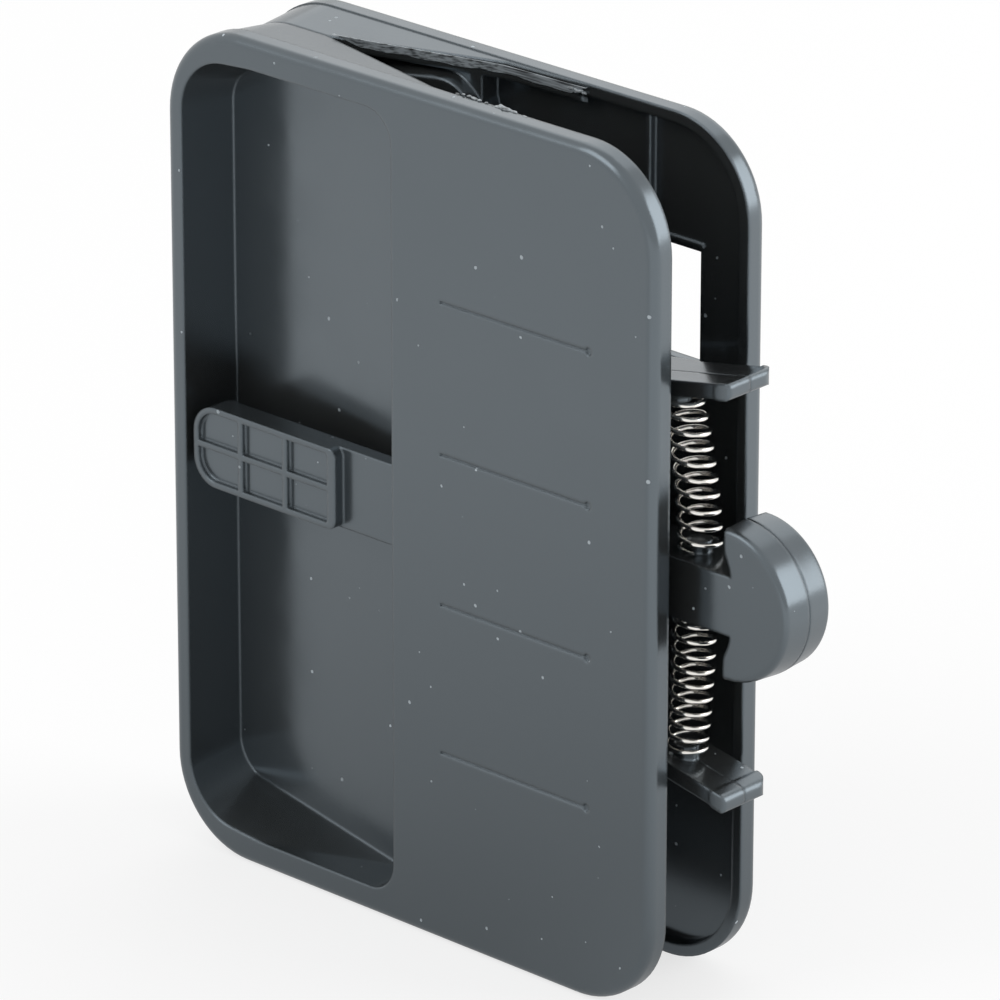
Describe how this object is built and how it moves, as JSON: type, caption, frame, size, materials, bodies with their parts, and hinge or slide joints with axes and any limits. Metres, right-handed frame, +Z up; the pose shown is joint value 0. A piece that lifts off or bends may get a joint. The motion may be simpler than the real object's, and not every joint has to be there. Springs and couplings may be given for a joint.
{
  "type": "sliding screen door latch",
  "caption": "Two moulded half shells clamp a door stile and carry a spring-centred rocking lever with a thumb tab in each finger cup and a round-headed latch nose.",
  "frame": {"origin": "bottom centre of the bounding box, on the seam plane, straight below the lever's pivot", "axes": "+X from the finger cups to the latch nose, +Y through the door from the front plate to the rear plate, +Z up along the plates"},
  "size_m": [0.084, 0.0172, 0.0952],
  "materials": {
    "housing_plastic": "moulded semi-gloss",
    "lever_plastic": "moulded semi-gloss",
    "spring_wire": "bright drawn wire"
  },
  "bodies": {
    "housing": {"front_pull": "housing_plastic", "rear_pull": "housing_plastic", "upper_spring": "spring_wire", "lower_spring": "spring_wire"},
    "lever": {"latch_lever": "lever_plastic"}
  },
  "joints": [
    {"name": "lever_rock", "type": "hinge", "parent": "housing", "child": "lever", "pos_m": [0, 0, 0.0476], "axis": [0, 1, 0], "range_deg": [-8, 8], "stiffness_Nm_per_rad": 0.6, "deforming": ["upper_spring", "lower_spring"]}
  ]
}
